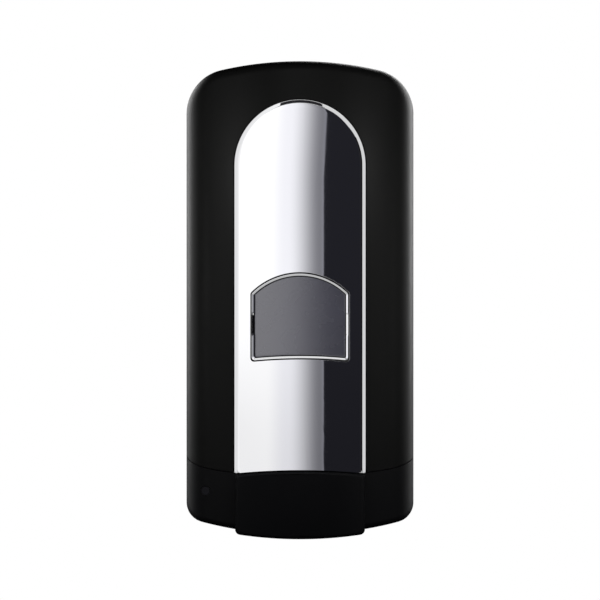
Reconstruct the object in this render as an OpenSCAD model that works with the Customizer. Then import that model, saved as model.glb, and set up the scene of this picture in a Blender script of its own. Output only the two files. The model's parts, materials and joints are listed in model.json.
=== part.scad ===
// Touch-free wall soap dispenser: black cover, arched chrome panel, smoked sight window.
// Millimetres, +Z up. The wall is the plane y = 0, the front faces -Y, and the origin is
// the centre of the four wall-screw holes on the back face, at the body's mid height.

/* [Body] */
// Width of the body
body_w = 128.2; // [127:0.2:129]
// Height from the nose's lowest point to the top of the crown
body_h = 267; // [266:0.5:268]
// Depth from the wall to the front of the cover
body_d = 100; // [99.5:0.5:103]
// Wall thickness of the moulded shells
wall = 2.5; // [2.2:0.1:2.8]
// Radius of the bowed front, seen from above
front_r = 110; // [108:1:116]
// Radius of the front's side corners, seen from above
side_r = 28; // [26:1:29]
// Radius of the crowned top edge
crown_r = 216; // [210:1:225]
// Radius of the two upper corners
top_corner_r = 25; // [23:0.5:26]
// Radius of the crowned bottom edge
chin_r = 240; // [230:1:250]
// Radius of the two lower corners
chin_corner_r = 11; // [10:0.5:12]

/* [Chrome panel] */
// Half width of the panel, which is also the radius of its arch
panel_r = 36.8; // [36:0.1:37]
// Height of the arch's top above mid height
panel_top = 112; // [110:0.5:113]
// How far the panel stands out of the cover
panel_proud = 1.3; // [1:0.1:1.6]
// Gap between the panel and the cover around it
panel_gap = 0.6; // [0.4:0.1:0.8]

/* [Sight window] */
// Half width of the window opening
window_hw = 25.4; // [25:0.1:26.5]
// Height of the window's arched top
window_top = 13.2; // [12.5:0.1:14]
// Height of the window's lower edge at its middle
window_low = -30.9; // [-31:0.1:-29.5]

/* [Cover hinge] */
// Height of the hinge pins
hinge_z = -116; // [-116.5:0.5:-115.5]
// Distance of the hinge pins from the wall
hinge_y = 19; // [18.8:0.1:19.4]
// Radius of the rounded knuckle that turns about the pins
knuckle_r = 15.3; // [15:0.1:15.4]
// Radius of the hinge pins
pin_r = 2; // [1.8:0.1:2.1]

/* [Wall mounting] */
// Hole spacing across
screw_dx = 84; // [80:1:86]
// Hole spacing up and down
screw_dz = 92; // [88:1:94]
// Radius of the wall-screw holes
screw_hole_r = 2.75; // [2.5:0.05:3]

/* [Pump drive] */
// Distance of the pump's axis from the wall
pump_y = 60; // [59.5:0.5:60.5]
// Gear module
gear_m = 0.8; // [0.78:0.01:0.8]
// Teeth of the small gears
small_teeth = 12; // [12:1:12]
// Teeth of the large gears
large_teeth = 30; // [30:1:30]

/* [Hidden] */
$fn = 96;
fit = 0.05;
half_h = body_h / 2;
half_w = body_w / 2;
chin_low = -half_h + 2.5;
rim_d = 16;
rim_gap = 0.4;
seam_z = -98.2;
seam_slope = 0.31;
seam_gap = 0.45;
big = 400;

panel_arch_z = panel_top - panel_r;
panel_low = -94.9;
panel_seat = 1;
nose_hw = panel_r - 0.5;
nose_proud = 2.1;
nose_top = panel_low - 0.8;
nose_top_r = 330;
nose_back = 40;
outlet_r = 12;
lens_y = 86;

window_r = 36.5;
window_ledge = 2.4;

pitch_large = gear_m * large_teeth / 2;
pitch_small = gear_m * small_teeth / 2;
gear_span = pitch_large + pitch_small;
rack_x = -22;
out_x = rack_x - pitch_small;
out_z = -88;
idler_turn = 149.6;
idler_x = out_x + gear_span * cos(idler_turn);
idler_z = out_z + gear_span * sin(idler_turn);
motor_x = idler_x;
motor_z = idler_z + gear_span;
layer_a = 61;
layer_b = 66;
layer_c = 71;
axle_r = 1.5;
plate_y = 58;
cover_y = 77;
rod_x = 15;
rod_y = 44;
rod_r = 2;
shelf_z = -58;
shelf_t = 3;
floor_z = -122;
deck_front = 90;
side_x = 58;
screw_y_in = 13.2;
lug_notch_y = 28;

function arc_point(cx, cy, r, a) = [cx + r * cos(a), cy + r * sin(a)];
function arc(cx, cy, r, from, to, n) =
  [for (i = [0:n]) arc_point(cx, cy, r, from + (to - from) * i / n)];

// A block with a crowned end: its apex is at the origin and it runs down to -len.
module crowned(w, len, r_crown, r_corner) {
  cx = w - r_corner;
  rise = sqrt(pow(r_crown - r_corner, 2) - cx * cx);
  cy = r_crown - rise;
  turn = atan2(rise, cx);
  polygon(concat(
    [[-w, -len], [w, -len]],
    arc(cx, -cy, r_corner, 0, turn, 10),
    [for (i = [1:15]) [r_crown * cos(turn + (180 - 2 * turn) * i / 16),
      r_crown * (sin(turn + (180 - 2 * turn) * i / 16) - 1)]],
    arc(-cx, -cy, r_corner, 180 - turn, 180, 10)));
}

// Front view of the body, drawn in x and z, shrunk by e on every side.
module outline(e) {
  intersection() {
    translate([0, half_h - e])
      crowned(half_w - e, body_h, crown_r - e, top_corner_r - e);
    rotate(180)
      translate([0, -chin_low - e])
        crowned(half_w - e, body_h, chin_r - e, chin_corner_r - e);
  }
}

// Lay a drawing made in x and z on the y axis, from y = -far to y = -near.
module along_y(near, far) {
  translate([0, -near, 0])
    rotate([90, 0, 0])
      linear_extrude(far - near) children();
}

// Lay a drawing made in y and z along the x axis, centred on x = 0.
module along_x(len) {
  rotate([90, 0, 90])
    translate([0, 0, -len / 2])
      linear_extrude(len) children();
}

// Upright column with the plan view of the bowed front, shrunk by e.
module front_column(e, low = -140, high = 140) {
  translate([0, 0, low])
    linear_extrude(high - low)
      translate([0, -body_d + e])
        mirror([0, 1])
          crowned(half_w - e, body_d + 10, front_r - e, side_r - e);
}

// The whole body shrunk by e, running past the wall plane.
module body_solid(e) {
  intersection() {
    front_column(e);
    along_y(-9, body_d + 5) outline(e);
  }
}

// Everything above or below the sloping seam between cover and chin.
module above_seam(lift) {
  z0 = seam_z + lift;
  along_x(big)
    polygon([[-body_d - 20, z0 - 20 * seam_slope], [20, z0 + (body_d + 20) * seam_slope],
      [20, big], [-body_d - 20, big]]);
}

module below_seam(drop) {
  z0 = seam_z - drop;
  along_x(big)
    polygon([[-body_d - 20, z0 - 20 * seam_slope], [20, z0 + (body_d + 20) * seam_slope],
      [20, -big], [-body_d - 20, -big]]);
}

// Space ahead of the rim, with the round knuckle about the hinge pins added.
module cover_space(r) {
  translate([-big / 2, -big, -big / 2]) cube([big, big - rim_d - rim_gap, big]);
  translate([-big / 2, -hinge_y, hinge_z]) rotate([0, 90, 0]) cylinder(r = r, h = big);
}

// Front view of the chrome panel, grown by g.
module panel_outline(g) {
  translate([0, panel_arch_z]) circle(panel_r + g);
  translate([-panel_r - g, panel_low]) square([2 * (panel_r + g), panel_arch_z - panel_low]);
}

// Front view of the window, shrunk by g.
module window_outline(g) {
  hw = window_hw - g;
  intersection() {
    translate([0, window_top - g - window_r]) circle(window_r, $fn = 144);
    translate([-hw, window_low - 1 + g]) square([2 * hw, 60]);
  }
}

module panel_plate(front_e, back_e) {
  difference() {
    front_column(front_e);
    front_column(back_e, -141, 141);
  }
}

// Spur gear drawing with involute flanks and one tooth centred on +x.
function inv_deg(a) = tan(a) * 180 / PI - a;
function flank(r, rb, psi) = r <= rb ? psi : psi - inv_deg(acos(rb / r));
module spur(n) {
  rp = gear_m * n / 2;
  rb = rp * cos(25);
  ra = rp + 0.9 * gear_m;
  rf = rp - 1.15 * gear_m;
  psi = (PI * gear_m / 2 - 0.09) / (2 * rp) * 180 / PI + inv_deg(25);
  rise = [rf, max(rb, rf), max(rb, rf) + (ra - max(rb, rf)) * 0.3,
    max(rb, rf) + (ra - max(rb, rf)) * 0.65, ra];
  polygon([for (t = [0:n - 1]) for (i = [0:9])
    let (r = i < 5 ? rise[i] : rise[9 - i])
    let (a = flank(r, rb, psi))
    let (b = t * 360 / n + (i < 5 ? -a : a))
    [r * cos(b), r * sin(b)]]);
}

function mesh_turn(a1, n1, n2, phi) = phi + 180 + ((phi - a1) * n1 / 360 + 0.5) * 360 / n2;
out_turn = 0;
idler_small_turn = mesh_turn(out_turn, large_teeth, small_teeth, idler_turn);
motor_turn = mesh_turn(idler_small_turn, large_teeth, small_teeth, 90);

// Put a gear drawing at x and z, from y = -near forward by t.
module gear_at(x, z, near, t, turn) {
  translate([x, -near, z])
    rotate([90, 0, 0])
      linear_extrude(t) rotate(turn) children();
}

module rod_y_at(x, z, near, far, r) {
  translate([x, -near, z]) rotate([90, 0, 0]) cylinder(r = r, h = far - near, $fn = 48);
}

// Coil spring of round wire standing on z = 0.
module coil(r, wire, turns, h) {
  half = wire / (h - 2 * wire) * turns * 360;
  translate([0, 0, wire])
    linear_extrude(h - 2 * wire, twist = -360 * turns, slices = 16 * turns, $fn = 8)
      polygon([for (t = [0:22.5:337.5])
        [(r + wire * sin(t)) * cos(half * cos(t)), (r + wire * sin(t)) * sin(half * cos(t))]]);
}

// Flat two-core lead of width w through points in y and z.
module lead(pts, w, t) {
  along_x(w)
    for (i = [0:len(pts) - 2]) {
      d = pts[i + 1] - pts[i];
      n = [-d[1], d[0]] * t / 2 / norm(d);
      polygon([pts[i] + n, pts[i + 1] + n, pts[i + 1] - n, pts[i] - n]);
      translate(pts[i]) circle(t / 2, $fn = 8);
      translate(pts[i + 1]) circle(t / 2, $fn = 8);
    }
}

module screw_y(x, z, head_y, len, head_r, shank_r) {
  difference() {
    union() {
      rod_y_at(x, z, head_y, head_y + 2.2, head_r);
      rod_y_at(x, z, head_y - len, head_y, shank_r);
    }
    for (a = [0, 90])
      translate([x, -head_y - 1.9, z])
        rotate([0, a, 0]) cube([head_r * 1.1, 1.6, 0.9], center = true);
  }
}

rear_housing();
module rear_housing() {
  color([0.07, 0.07, 0.075])
  difference() {
    union() {
      difference() {
        along_y(0, rim_d) outline(0);
        along_y(3, rim_d + 1) outline(wall);
        difference() {
          translate([-big / 2, -hinge_y, hinge_z])
            rotate([0, 90, 0]) cylinder(r = knuckle_r + 0.4, h = big);
          translate([-big / 2, -3, -big / 2]) cube([big, 20, big]);
        }
        translate([-big / 2, -rim_d - 1, -half_h - 5])
          cube([big, rim_d - 2, half_h + 5 + hinge_z]);
      }
      for (s = [-1, 1])
        translate([s * 50.5 - 2.5, -hinge_y - 5, hinge_z - 5])
          cube([5, hinge_y + 4, 10]);
      for (s = [-1, 1]) for (z = [-97, -64])
        rod_y_at(s * 46, z, 2, 8, 4);
      for (s = [-1, 1])
        translate([s * 14.5 - 1.25, -14, 108]) cube([2.5, 12, 20]);
      translate([-15, -14, 108]) cube([30, 12, 2.5]);
    }
    for (s = [-1, 1]) hinge_rod(s * 50.5, 8, pin_r);
    for (sx = [-1, 1]) for (sz = [-1, 1])
      rod_y_at(sx * screw_dx / 2, sz * screw_dz / 2, -1, 4, screw_hole_r);
    for (s = [-1, 1]) for (z = [-97, -64]) rod_y_at(s * 46, z, 3.2, 9, 1.2);
    translate([-12.4, -12.4, 120]) cube([24.8, 8.8, 20]);
  }
}

module hinge_rod(x, len, r) {
  translate([x - len / 2, -hinge_y, hinge_z])
    rotate([0, 90, 0]) cylinder(r = r, h = len, $fn = 48);
}

hinge_pins();
module hinge_pins() {
  color([0.72, 0.73, 0.75])
  for (s = [-1, 1]) hinge_rod(s * 52.5, 9, pin_r);
}

front_cover();
module front_cover() {
  color([0.06, 0.06, 0.065])
  difference() {
    intersection() {
      difference() {
        body_solid(0);
        body_solid(wall);
      }
      above_seam(0);
      cover_space(knuckle_r);
    }
    intersection() {
      panel_plate(-5, panel_seat);
      along_y(body_d - 20, body_d + 10) panel_outline(panel_gap);
    }
    along_y(body_d - 20, body_d + 10) window_outline(window_ledge);
  }
  color([0.06, 0.06, 0.065])
  intersection() {
    body_solid(1);
    translate([-16, -22.5, 127]) cube([32, 2.5, 10]);
  }
  color([0.06, 0.06, 0.065])
  for (s = [-1, 1])
    difference() {
      intersection() {
        body_solid(1);
        translate([s * 40.5 - 4, -body_d, seam_z - 4]) cube([8, 15.5, 20]);
        above_seam(0);
      }
      translate([s * 40, -body_d + screw_y_in, seam_z - 16]) cylinder(r = 1.3, h = 26, $fn = 32);
    }
}

chin_shell();
module chin_shell() {
  color([0.05, 0.05, 0.055])
  difference() {
    union() {
      intersection() {
        difference() {
          body_solid(0);
          body_solid(wall);
        }
        below_seam(seam_gap);
        cover_space(knuckle_r);
      }
      intersection() {
        body_solid(0.5);
        for (s = [-1, 1]) hinge_rod(s * 57, 7.2, 5);
      }
      intersection() {
        body_solid(0.5);
        for (s = [-1, 1])
          translate([s * 40 - 4.5, -body_d, seam_z - 14]) cube([9, 15.5, 16]);
        below_seam(seam_gap);
      }
    }
    for (s = [-1, 1]) hinge_rod(s * 55.5, 8, pin_r + fit);
    translate([0, -pump_y, chin_low - 5]) cylinder(r = outlet_r, h = 14);
    translate([-13, -lens_y - 5, chin_low - 5]) cube([26, 10, 14]);
    rod_y_at(-53, -107, 60, body_d + 5, 2.6);
    for (s = [-1, 1])
      translate([s * 40, -body_d + screw_y_in, seam_z - 16]) cylinder(r = 1.3, h = 20, $fn = 32);
    for (s = [-1, 1])
      translate([s * 50.5 - 3.1, -lug_notch_y, -140]) cube([6.2, 40, 30]);
  }
}

nose_cover();
module nose_cover() {
  color([0.055, 0.055, 0.06])
  difference() {
    intersection() {
      front_column(-nose_proud);
      along_y(nose_back, body_d + 5)
        intersection() {
          rotate(180) translate([0, half_h])
            crowned(nose_hw, 60, 255, 3);
          translate([0, nose_top - nose_top_r]) circle(nose_top_r, $fn = 240);
        }
    }
    body_solid(-0.02);
    translate([0, -pump_y, -half_h - 5]) cylinder(r = outlet_r, h = 14);
    translate([-13, -lens_y - 5, -half_h - 5]) cube([26, 10, 14]);
  }
}

chrome_panel();
module chrome_panel() {
  color([0.86, 0.87, 0.88])
  difference() {
    intersection() {
      panel_plate(-panel_proud, panel_seat);
      along_y(body_d - 20, body_d + 10) panel_outline(0);
    }
    along_y(body_d - 21, body_d + 11) window_outline(0);
  }
}

sight_window();
module sight_window() {
  color([0.35, 0.35, 0.38, 0.75])
  difference() {
    intersection() {
      panel_plate(-0.6, panel_seat);
      along_y(body_d - 20, body_d + 10) window_outline(0.5);
    }
    for (s = [-1, 1]) for (z = [-20, -7.6])
      translate([s * (window_hw - 0.9) - 0.8, -body_d - 5, z - 0.4])
        cube([1.6, 20, 0.8]);
  }
}

sensor_lens();
module sensor_lens() {
  color([0.12, 0.03, 0.04])
  translate([-12.8, -lens_y - 4.8, -half_h + 0.6]) cube([25.6, 9.6, 4]);
}

indicator_lens();
module indicator_lens() {
  color([0.09, 0.09, 0.1])
  intersection() {
    rod_y_at(-53, -107, 60, body_d + 5, 2.4);
    difference() {
      body_solid(0.1);
      body_solid(3.2);
    }
  }
}

cover_screws();
module cover_screws() {
  color([0.7, 0.7, 0.72])
  for (s = [-1, 1])
    translate([s * 40, -body_d + screw_y_in, seam_z - 16]) {
      cylinder(r = 2.6, h = 2, $fn = 40);
      cylinder(r = 1.3, h = 26, $fn = 32);
    }
}

latch_button();
module latch_button() {
  color([0.3, 0.3, 0.32])
  difference() {
    union() {
      translate([-12, -12, 117]) cube([24, 8, half_h - 117 + 0.6]);
      translate([-8, -24, 119]) cube([16, 13, 3.5]);
      translate([-8, -24, 119]) cube([16, 1.8, 7.4]);
    }
    translate([-6, -10, 116]) cube([12, 4, 6]);
  }
}

latch_spring();
module latch_spring() {
  color([0.75, 0.75, 0.77])
  translate([0, -8, 110.8]) coil(1.5, 0.3, 6, 10.6);
}

drive_chassis();
module drive_chassis() {
  color([0.16, 0.16, 0.17])
  difference() {
    intersection() {
      body_solid(wall + 0.6);
      union() {
        translate([-side_x, -deck_front, shelf_z]) cube([2 * side_x, deck_front - 8.2, shelf_t]);
        translate([-46, -deck_front, floor_z]) cube([92, deck_front - 27, 2]);
        for (s = [-1, 1])
          translate([s * (side_x - 1) - 1, -72, -108]) cube([2, 62, 109 + shelf_z]);
        translate([-side_x + 2, -10.2, -108]) cube([2 * side_x - 4, 2, 109 + shelf_z]);
        for (s = [-1, 1]) translate([s * 22 - 1, -26, floor_z]) cube([2, 17, 66]);
        translate([-23, -29, floor_z]) cube([46, 3, 66]);
      }
    }
    for (s = [-1, 1]) hinge_rod(s * 54, 20, knuckle_r + 0.7);
    intersection() {
      hinge_rod(0, 96, knuckle_r + 0.7);
      translate([-50, -hinge_y + 6, floor_z - 10]) cube([100, 20, 40]);
    }
    translate([0, -pump_y, shelf_z - 1]) cylinder(r = 12.5, h = 6);
    translate([-12.5, -deck_front - 1, shelf_z - 1]) cube([25, deck_front - pump_y + 1, 6]);
    translate([-52.9, -68, shelf_z - 1]) cube([24, 42, 6]);
    translate([0, -pump_y, floor_z - 1]) cylinder(r = 10, h = 6);
    translate([-11, -lens_y - 3, floor_z - 1]) cube([22, 6, 6]);
    for (s = [-1, 1])
      translate([s * 48 - 15, -deck_front - 1, floor_z - 1]) cube([30, 33, 4]);
    for (s = [-1, 1]) for (z = [-97, -64]) rod_y_at(s * 46, z, 5, 12, 1.7);
    for (s = [-1, 1]) {
      translate([s * rod_x, -rod_y, floor_z + 0.6]) cylinder(r = rod_r, h = 5, $fn = 48);
      translate([s * rod_x, -rod_y, shelf_z - 1]) cylinder(r = rod_r, h = 3, $fn = 48);
    }
  }
}

chassis_screws();
module chassis_screws() {
  color([0.7, 0.7, 0.72])
  for (s = [-1, 1]) for (z = [-97, -64]) screw_y(s * 46, z, 10.2, 6.5, 3, 1.2);
}

// Bottle shape shrunk by e.
module bottle_form(e) {
  intersection() {
    along_y(26 + e, 90 - e)
      intersection() {
        translate([0, 112 - e]) crowned(46 - e, 200, 160 - e, 14 - e);
        rotate(180) translate([0, 40 - e]) crowned(46 - e, 200, 90 - e, 18 - e);
      }
    translate([0, 0, -60])
      linear_extrude(200)
        translate([0, -90 + e]) mirror([0, 1])
          intersection() {
            crowned(46 - e, 64 - 2 * e, 130 - e, 16 - e);
            rotate(180) translate([0, 64 - 2 * e]) crowned(46 - e, 70, 200 - e, 12 - e);
          }
  }
}

soap_bottle();
module soap_bottle() {
  color([0.85, 0.86, 0.87, 0.5])
  difference() {
    union() {
      bottle_form(0);
      translate([0, -pump_y, -52]) cylinder(r = 11, h = 16);
    }
    bottle_form(1.3);
    translate([0, -pump_y, -53]) cylinder(r = 9.6, h = 20);
  }
}

liquid_soap();
module liquid_soap() {
  color([0.7, 0.72, 0.75, 0.7])
  intersection() {
    union() {
      bottle_form(1.35);
      translate([0, -pump_y, -51]) cylinder(r = 9.5, h = 16);
    }
    translate([-100, -120, -60]) cube([200, 120, 145]);
  }
}

neck_collar();
module neck_collar() {
  color([0.9, 0.9, 0.9])
  difference() {
    union() {
      translate([0, -pump_y, -54.9]) cylinder(r = 16, h = 13.5);
      for (a = [0:15:345])
        translate([0, -pump_y, -53])
          rotate(a) translate([15.8, -0.6, 0]) cube([0.7, 1.2, 10]);
    }
    translate([0, -pump_y, -52]) cylinder(r = 11.05, h = 20);
    translate([0, -pump_y, -60]) cylinder(r = 6.05, h = 20);
  }
}

pump_body();
module pump_body() {
  color([0.93, 0.93, 0.94])
  difference() {
    union() {
      translate([0, -pump_y, -86]) cylinder(r = 10.6, h = 31);
      translate([0, -pump_y, -64]) cylinder(r = 14.2, h = 2);
      translate([0, -pump_y, -56]) cylinder(r = 6, h = 4);
    }
    translate([0, -pump_y, -87]) cylinder(r = 4.3, h = 25);
    translate([0, -pump_y, -63]) cylinder(r = 1.5, h = 12, $fn = 32);
  }
}

pump_spring();
module pump_spring() {
  color([0.75, 0.75, 0.77])
  translate([0, -pump_y, -99.1]) coil(12.2, 0.7, 6, 35);
}

nozzle();
module nozzle() {
  color([0.93, 0.93, 0.94])
  difference() {
    union() {
      translate([0, -pump_y, -102]) cylinder(r = 13.4, h = 2.6);
      translate([0, -pump_y, -102]) cylinder(r = 4, h = 28);
      translate([0, -pump_y, -117]) cylinder(r = 6, h = 15.5);
      translate([0, -pump_y, -125]) cylinder(r1 = 3.4, r2 = 6, h = 8);
    }
    translate([0, -pump_y, -126]) cylinder(r = 1.6, h = 60, $fn = 32);
  }
}

pump_carriage();
module pump_carriage() {
  pitch = PI * gear_m;
  color([0.8, 0.8, 0.78])
  difference() {
    union() {
      translate([-13, -layer_c - 6, -106]) cube([26, 20, 4]);
      translate([-18.5, -rod_y - 20, -106]) cube([37, 26, 4]);
      translate([-20, -layer_c - 5.6, -106]) cube([8, 5, 4]);
      along_y(layer_c + 0.6, layer_c + 5.6) {
        translate([rack_x + 1.1 * gear_m, -106]) square([3.4, 34]);
        for (k = [-7:4])
          translate([rack_x, out_z + (k + 0.5) * pitch])
            rack_tooth();
      }
    }
    translate([0, -pump_y, -107]) cylinder(r = 6.3, h = 8);
    for (s = [-1, 1])
      translate([s * rod_x, -rod_y, -107]) cylinder(r = rod_r + fit, h = 8, $fn = 48);
  }
}

module rack_tooth() {
  half = (PI * gear_m / 2 - 0.09) / 2;
  t = tan(25);
  polygon([[-0.9 * gear_m, -half + 0.9 * gear_m * t], [1.2 * gear_m, -half - 1.2 * gear_m * t],
    [1.2 * gear_m, half + 1.2 * gear_m * t], [-0.9 * gear_m, half - 0.9 * gear_m * t]]);
}

guide_rods();
module guide_rods() {
  color([0.78, 0.79, 0.8])
  for (s = [-1, 1])
    translate([s * rod_x, -rod_y, floor_z + 0.6])
      cylinder(r = rod_r, h = shelf_z + 2 - floor_z - 0.6, $fn = 48);
}

gearbox_plate();
module gearbox_plate() {
  color([0.85, 0.85, 0.83])
  difference() {
    along_y(plate_y, plate_y + 2) gearbox_outline();
    rod_y_at(motor_x, motor_z, plate_y - 1, plate_y + 3, 3.5);
    rod_y_at(idler_x, idler_z, plate_y - 1, plate_y + 3, axle_r);
    rod_y_at(out_x, out_z, plate_y - 1, plate_y + 3, axle_r);
  }
}

module gearbox_outline() {
  difference() {
    translate([-52.6, -106]) square([33.6, 46.5]);
    translate([-27, -83]) square([20, 30]);
  }
}

gearbox_cover();
module gearbox_cover() {
  color([0.85, 0.85, 0.83])
  difference() {
    along_y(cover_y, cover_y + 2) gearbox_outline();
    rod_y_at(idler_x, idler_z, cover_y - 1, cover_y + 3, axle_r);
    rod_y_at(out_x, out_z, cover_y - 1, cover_y + 3, axle_r);
    for (p = spacer_points) rod_y_at(p[0], p[1], cover_y - 1, cover_y + 3, 1.2);
  }
}

spacer_points = [[-50, -103.5], [-50, -62.5], [-31, -103.5]];

gearbox_spacers();
module gearbox_spacers() {
  color([0.78, 0.79, 0.8])
  for (p = spacer_points) {
    rod_y_at(p[0], p[1], plate_y + 2, cover_y, 1.9);
    rod_y_at(p[0], p[1], cover_y - 1, cover_y + 2.4, 1.2);
    rod_y_at(p[0], p[1], cover_y + 2, cover_y + 3.6, 2.2);
  }
}

gear_axles();
module gear_axles() {
  color([0.78, 0.79, 0.8])
  for (p = [[idler_x, idler_z], [out_x, out_z]])
    rod_y_at(p[0], p[1], plate_y, cover_y + 2, axle_r);
}

drive_motor();
module drive_motor() {
  color([0.7, 0.71, 0.73])
  difference() {
    union() {
      rod_y_at(motor_x, motor_z, 30, plate_y - 0.05, 11);
      rod_y_at(motor_x, motor_z, 27, 30, 4);
    }
    rod_y_at(motor_x, motor_z, plate_y - 6, plate_y + 1, 1.1);
  }
}

motor_pinion();
module motor_pinion() {
  color([0.8, 0.7, 0.45])
  union() {
    rod_y_at(motor_x, motor_z, plate_y - 5, layer_a + 4, 1);
    gear_at(motor_x, motor_z, layer_a, 4, motor_turn) spur(small_teeth);
  }
}

idler_gear();
module idler_gear() {
  color([0.92, 0.92, 0.88])
  difference() {
    union() {
      gear_at(idler_x, idler_z, layer_a, 4, idler_small_turn) spur(large_teeth);
      gear_at(idler_x, idler_z, layer_a + 4, 6, idler_small_turn) spur(small_teeth);
    }
    rod_y_at(idler_x, idler_z, plate_y, cover_y, axle_r + fit);
  }
}

output_gear();
module output_gear() {
  color([0.92, 0.92, 0.88])
  difference() {
    union() {
      gear_at(out_x, out_z, layer_b, 4, out_turn) spur(large_teeth);
      gear_at(out_x, out_z, layer_b + 4, 6.6, out_turn) spur(small_teeth);
    }
    rod_y_at(out_x, out_z, plate_y, cover_y, axle_r + fit);
  }
}

cell_x = [28.5, 43.5];
cell_y = [57, 72];
cell_low = -115.5;

battery_tray();
module battery_tray() {
  color([0.2, 0.2, 0.21])
  difference() {
    translate([19.3, -80, -120]) cube([32, 33, 59.2]);
    translate([21, -82, -117.2]) cube([29.8, 33.3, 54.8]);
  }
}

// One round cell standing at x and y, with its button end up or down.
module cell(x, y, up) {
  translate([x, -y, cell_low + (up ? 0 : 1.2)]) cylinder(r = 7.1, h = 49.3);
  translate([x, -y, up ? cell_low + 49.3 : cell_low]) cylinder(r = 2.7, h = 1.2, $fn = 48);
}

battery_cell_1();
module battery_cell_1() {
  color([0.75, 0.55, 0.2]) cell(cell_x[0], cell_y[0], true);
}

battery_cell_2();
module battery_cell_2() {
  color([0.75, 0.55, 0.2]) cell(cell_x[1], cell_y[0], false);
}

battery_cell_3();
module battery_cell_3() {
  color([0.75, 0.55, 0.2]) cell(cell_x[0], cell_y[1], false);
}

battery_cell_4();
module battery_cell_4() {
  color([0.75, 0.55, 0.2]) cell(cell_x[1], cell_y[1], true);
}

battery_contacts();
module battery_contacts() {
  color([0.8, 0.8, 0.82])
  for (y = cell_y) {
    translate([22.5, -y - 5, -117.2]) cube([27, 10, 0.5]);
    for (x = cell_x) {
      translate([x - 5, -y - 5, -62.9]) cube([10, 10, 0.5]);
      translate([x, -y, -116.7]) cylinder(r = 3, h = 1.2, $fn = 40);
      translate([x, -y, -65]) cylinder(r = 3, h = 2.1, $fn = 40);
    }
  }
}

battery_door();
module battery_door() {
  color([0.22, 0.22, 0.23])
  difference() {
    translate([18.9, -82.2, -120]) cube([33, 2.2, 59.6]);
    for (k = [0:4]) translate([28.5, -83, -110 + 3 * k]) cube([14, 1.4, 1.4]);
  }
}

circuit_board();
module circuit_board() {
  color([0.05, 0.3, 0.14])
  difference() {
    translate([-36, -33.2, -116]) cube([72, 1.6, 42]);
    for (sx = [-33, 33]) for (z = [-113, -77]) rod_y_at(sx, z, 30, 35, 1.6);
  }
}

board_parts();
module board_parts() {
  color([0.08, 0.08, 0.09]) {
    translate([-9, -36, -100]) cube([14, 2.8, 10]);
    translate([-28, -35.4, -108]) cube([10, 2.2, 6]);
    translate([12, -37.4, -113]) cube([16, 4.2, 6]);
    rod_y_at(24, -83, 33.2, 41, 4);
    rod_y_at(-24, -96, 33.2, 37, 2.6);
    translate([8, -35, -82]) cube([7, 1.8, 4]);
  }
}

sensor_board();
module sensor_board() {
  color([0.05, 0.3, 0.14])
  translate([-16, -lens_y - 3.8, -119.9]) cube([32, 7.6, 1.4]);
}

sensor_emitter();
module sensor_emitter() {
  color([0.75, 0.78, 0.85, 0.8]) sensor_bulb(-6);
}

sensor_receiver();
module sensor_receiver() {
  color([0.06, 0.05, 0.08]) sensor_bulb(6);
}

module sensor_bulb(x) {
  translate([x, -lens_y, -124]) cylinder(r = 2.5, h = 4.1, $fn = 48);
  translate([x, -lens_y, -124]) sphere(2.5, $fn = 48);
}

motor_leads();
module motor_leads() {
  color([0.6, 0.08, 0.07])
  translate([-34.3, 0, 0])
    lead([[-29.4, motor_z], [-21, motor_z - 5], [-20, -96], [-22.5, -101], [-31, -104]], 3.2, 1.2);
}

battery_leads();
module battery_leads() {
  color([0.08, 0.08, 0.09])
  translate([32, 0, 0])
    lead([[-46.4, -70], [-41, -73], [-38, -90], [-36, -104], [-33.8, -108]], 3.2, 1.2);
}
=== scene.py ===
"""Touch-free wall soap dispenser: the visible shells, panel and window, their materials, and the studio."""

import json
import math

import bpy
import numpy as np
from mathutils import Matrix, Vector


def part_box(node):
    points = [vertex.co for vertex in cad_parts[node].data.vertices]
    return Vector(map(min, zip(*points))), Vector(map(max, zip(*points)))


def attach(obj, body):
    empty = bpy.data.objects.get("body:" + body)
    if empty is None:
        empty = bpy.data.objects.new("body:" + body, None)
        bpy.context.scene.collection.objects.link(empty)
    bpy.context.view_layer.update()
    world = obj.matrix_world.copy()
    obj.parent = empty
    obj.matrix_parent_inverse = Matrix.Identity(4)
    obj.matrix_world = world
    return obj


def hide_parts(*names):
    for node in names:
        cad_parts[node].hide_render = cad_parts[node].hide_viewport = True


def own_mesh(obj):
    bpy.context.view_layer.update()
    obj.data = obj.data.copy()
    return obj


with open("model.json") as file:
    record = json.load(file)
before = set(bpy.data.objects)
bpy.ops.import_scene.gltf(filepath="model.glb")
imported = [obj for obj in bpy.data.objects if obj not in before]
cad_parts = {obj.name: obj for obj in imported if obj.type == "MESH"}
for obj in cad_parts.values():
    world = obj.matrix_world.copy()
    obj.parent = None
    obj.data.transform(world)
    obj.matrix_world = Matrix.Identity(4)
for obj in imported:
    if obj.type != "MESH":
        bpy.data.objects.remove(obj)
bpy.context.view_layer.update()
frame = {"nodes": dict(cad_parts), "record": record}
MM = 0.001

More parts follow.
